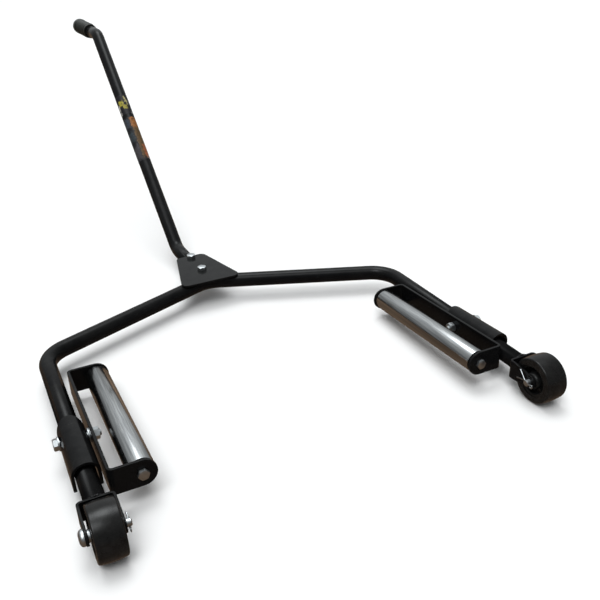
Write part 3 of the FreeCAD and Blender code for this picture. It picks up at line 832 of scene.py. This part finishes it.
def fork_weld(side):
    """A rippled weld bead round the tube where the fork's web closes its end."""
    origin, _ = joint_line(f"{side}_wheel_spin")
    fork_centre = middle_of(points_of(f"{side}_fork"))
    web_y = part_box(f"{side}_fork")[1].y
    centre = Vector((fork_centre.x, web_y + 0.6 * MM, origin.z))
    count = 150
    path = []
    for k in range(count + 3):
        angle = 2 * math.pi * k / count
        path.append(centre + (X_AXIS * math.cos(angle) + Z_AXIS * math.sin(angle)) * (TUBE_R + 0.5 * MM))

    def ripple(k, angle):
        lumps = noise.noise(path[k] * 90) * 0.22
        return 1.0 + 0.12 * math.sin(k * 1.05) + lumps

    bead = Shape()
    bead.rod(path, WELD_R, 10, ripple)
    bead.piece(f"{side}_fork_weld", PAINT, "frame", "black_paint", smooth_deg=70)


# ---- carriages ----------------------------------------------------------
def pivot_fasteners(side, way):
    """The pivot bolt with its two washers and its nut. Along is outward, from the nut to the head."""
    body = f"{side}_carriage"
    origin, _ = joint_line(f"{side}_carriage_rock")
    along = X_AXIS * way
    tip, top = reach(points_of(f"{side}_pivot_bolt"), origin, along)
    inner_washer, head_washer = split_along(points_of(f"{side}_pivot_washers"), along, 2)
    seat = reach(head_washer, origin, along)[1]
    nut_points = points_of(f"{side}_pivot_nut")
    nut_seat = reach(nut_points, origin, along)[1]
    bolt = Shape()
    bolt.bolt(M12, origin, along, tip, seat, top, nut_seat - tip + 3 * MM, 0.35)
    bolt.piece(f"{side}_threaded_pivot_bolt", ZINC, body, "zinc_plate", [f"{side}_pivot_bolt"])
    washers = Shape()
    for points in (inner_washer, head_washer):
        washers.washer(points, origin, along, M12["r"] + 0.1 * MM)
    washers.piece(f"{side}_eased_pivot_washers", ZINC, body, "zinc_plate", [f"{side}_pivot_washers"])
    nut = Shape()
    nut.nut(M12, nut_points, origin, along, 0.15)
    nut.piece(f"{side}_chamfered_pivot_nut", ZINC, body, "zinc_plate", [f"{side}_pivot_nut"])


def roller_fasteners(side):
    """The long bolt through the roller with its washers and nut. Along is forwards, towards the head."""
    body = f"{side}_carriage"
    origin, backwards = joint_line(f"{side}_roller_spin")
    along = backwards * -1
    tip, top = reach(points_of(f"{side}_roller_axle_bolt"), origin, along)
    seat = reach(points_of(f"{side}_roller_bracket"), origin, along)[1]
    nut_points = points_of(f"{side}_roller_lock_nut")
    nut_seat = reach(nut_points, origin, along)[1]
    bolt = Shape()
    bolt.bolt(M10, origin, along, tip, seat, top, nut_seat - tip + 3 * MM, 0.12)
    bolt.piece(f"{side}_threaded_roller_bolt", ZINC, body, "zinc_plate", [f"{side}_roller_axle_bolt"])
    washers = Shape()
    for points in split_along(points_of(f"{side}_roller_washers"), along, 2):
        washers.washer(points, origin, along, M10["r"] + 0.1 * MM)
    washers.piece(f"{side}_eased_roller_washers", ZINC, body, "zinc_plate", [f"{side}_roller_washers"])
    nut = Shape()
    nut.nut(M10, nut_points, origin, along, 0.4)
    nut.piece(f"{side}_chamfered_lock_nut", ZINC, body, "zinc_plate", [f"{side}_roller_lock_nut"])


def roller(side):
    """The plated tube with eased ends, and the two moulded plugs that it turns on."""
    body = f"{side}_roller"
    origin, along = joint_line(f"{side}_roller_spin")
    points = points_of(f"{side}_roller_tube")
    low, high = reach(points, origin, along)
    outer = widest(points, origin, along)
    plug_groups = split_along(points_of(f"{side}_roller_bushes"), along, 2)
    inner = widest(plug_groups[0], origin, along)
    ease = 0.8 * MM
    tube = Shape()
    tube.lathe([(low, inner), (low, outer - ease), (low + ease * 0.3, outer - ease * 0.3),
                (low + ease, outer), (high - ease, outer),
                (high - ease * 0.3, outer - ease * 0.3), (high, outer - ease), (high, inner)],
               origin, along, 144, closed=True)
    tube.piece(f"{side}_plated_tube", ROLLER, body, "bright_roller", [f"{side}_roller_tube"])
    plugs = Shape()
    bore = M10["r"] + 0.15 * MM
    nose_r = 9 * MM
    for plug, mouth, inward in ((plug_groups[0], low, 1), (plug_groups[1], high, -1)):
        plug_low, plug_high = reach(plug, origin, along)
        nose = plug_low if inward > 0 else plug_high
        deep = plug_high if inward > 0 else plug_low
        face = mouth + inward * 0.4 * MM
        plugs.lathe([(nose, bore), (nose, nose_r - 0.5 * MM), (nose + inward * 0.5 * MM, nose_r),
                     (face, nose_r + 0.3 * MM), (face, inner - 1.2 * MM),
                      (face + inward * 0.8 * MM, inner - 0.1 * MM),
                     (deep, inner - 0.1 * MM), (deep, bore)], origin, along, 96, closed=True)
    plugs.piece(f"{side}_moulded_plugs", PLASTIC, body, "black_plastic", [f"{side}_roller_bushes"])


gusset_fasteners()
handle_label("upper_handle_label", upper_film(), "upper_printed_film")
handle_label("lower_handle_label", lower_film(), "lower_printed_film")
ribbed_grip()
for side, way in SIDES:
    wheel_tread(side)
    wheel_hub(side)
    axle(side, way)
    fork_weld(side)
    pivot_fasteners(side, way)
    roller_fasteners(side)
    roller(side)


def make_camera():
    azimuth = math.radians(CAMERA_AZIMUTH)
    elevation = math.radians(CAMERA_ELEVATION)
    roll = math.radians(CAMERA_ROLL)
    back = Vector((math.sin(azimuth) * math.cos(elevation), -math.cos(azimuth) * math.cos(elevation),
                   math.sin(elevation)))
    right = (back * -1).cross(Z_AXIS).normalized()
    up = right.cross(back * -1)
    rolled_right = right * math.cos(roll) + up * math.sin(roll)
    rolled_up = up * math.cos(roll) - right * math.sin(roll)
    lens = bpy.data.cameras.new("camera")
    lens.sensor_width = 36
    lens.lens = CAMERA_LENS
    camera = bpy.data.objects.new("camera", lens)
    bpy.context.scene.collection.objects.link(camera)
    camera.matrix_world = (Matrix.Translation(CAMERA_PLACE)
                           @ Matrix((rolled_right, rolled_up, back)).transposed().to_4x4())
    bpy.context.scene.camera = camera


def make_floor():
    half = 30.0
    mesh = bpy.data.meshes.new("floor")
    corners = [(-half, -half, 0), (half, -half, 0), (half, half, 0), (-half, half, 0)]
    mesh.from_pydata(corners, [], [(0, 1, 2, 3)])
    mesh.materials.append(floor_material())
    floor = bpy.data.objects.new("floor", mesh)
    floor.location.z = cad_box[0].z - 0.0002
    floor.visible_glossy = False
    bpy.context.scene.collection.objects.link(floor)


def make_backdrop():
    """A pale round wall far behind the floor, seen only by the camera."""
    radius = 28.0
    height = 25.0
    steps = 96
    ring = [2 * math.pi * k / steps for k in range(steps)]
    vertices = [(radius * math.cos(angle), radius * math.sin(angle), level)
                for level in (-1.0, height) for angle in ring]
    faces = [(k, (k + 1) % steps, steps + (k + 1) % steps, steps + k) for k in range(steps)]
    mesh = bpy.data.meshes.new("backdrop")
    mesh.from_pydata(vertices, [], faces)
    mesh.materials.append(bpy.data.objects["floor"].data.materials[0])
    wall = bpy.data.objects.new("backdrop", mesh)
    wall.visible_glossy = False
    wall.visible_diffuse = False
    wall.visible_shadow = False
    bpy.context.scene.collection.objects.link(wall)


def make_light():
    """A soft dome: bright patches overhead, a weaker one behind the handle, brown below the horizon."""
    world = bpy.data.worlds.new("soft_dome")
    world.use_nodes = True
    nodes = world.node_tree.nodes
    links = world.node_tree.links

    def arithmetic(operation, first, second):
        node = nodes.new("ShaderNodeMath")
        node.operation = operation
        for socket, value in zip(node.inputs, (first, second)):
            if isinstance(value, float):
                socket.default_value = value
            else:
                links.new(value, socket)
        return node.outputs[0]

    def lobe(centre, power, strength):
        """A soft patch of light round one direction."""
        toward = nodes.new("ShaderNodeVectorMath")
        toward.operation = "DOT_PRODUCT"
        toward.inputs[1].default_value = Vector(centre).normalized()
        links.new(direction, toward.inputs[0])
        facing = arithmetic("MAXIMUM", toward.outputs["Value"], 0.0)
        return arithmetic("MULTIPLY", arithmetic("POWER", facing, power), strength)

    direction = nodes.new("ShaderNodeTexCoord").outputs["Generated"]
    patches = (
        lobe((-0.20, 0.20, 1.00), 2.0, 0.50),
        lobe((-0.35, -0.32, 0.89), 30.0, 7.2),
        lobe((0.05, 0.30, 0.95), 30.0, 7.2),
        lobe((0.35, 0.80, 0.50), 5.0, 0.52),
    )
    glow = 0.13
    for patch in patches:
        glow = arithmetic("ADD", patch, glow)
    split = nodes.new("ShaderNodeSeparateXYZ")
    links.new(direction, split.inputs[0])
    above = nodes.new("ShaderNodeMapRange")
    above.inputs["From Min"].default_value = -0.12
    above.inputs["From Max"].default_value = 0.06
    links.new(split.outputs["Z"], above.inputs["Value"])
    sky = nodes.new("ShaderNodeMix")
    sky.data_type = "RGBA"
    sky.inputs["A"].default_value = (1.15, 0.80, 0.55, 1.0)
    sky.inputs["B"].default_value = (0.945, 0.985, 1.0, 1.0)
    links.new(above.outputs["Result"], sky.inputs["Factor"])
    ground = nodes["Background"]
    links.new(sky.outputs["Result"], ground.inputs["Color"])
    links.new(glow, ground.inputs["Strength"])
    bpy.context.scene.world = world
    bpy.context.scene.view_settings.view_transform = "Standard"


make_camera()
make_floor()
make_backdrop()
make_light()
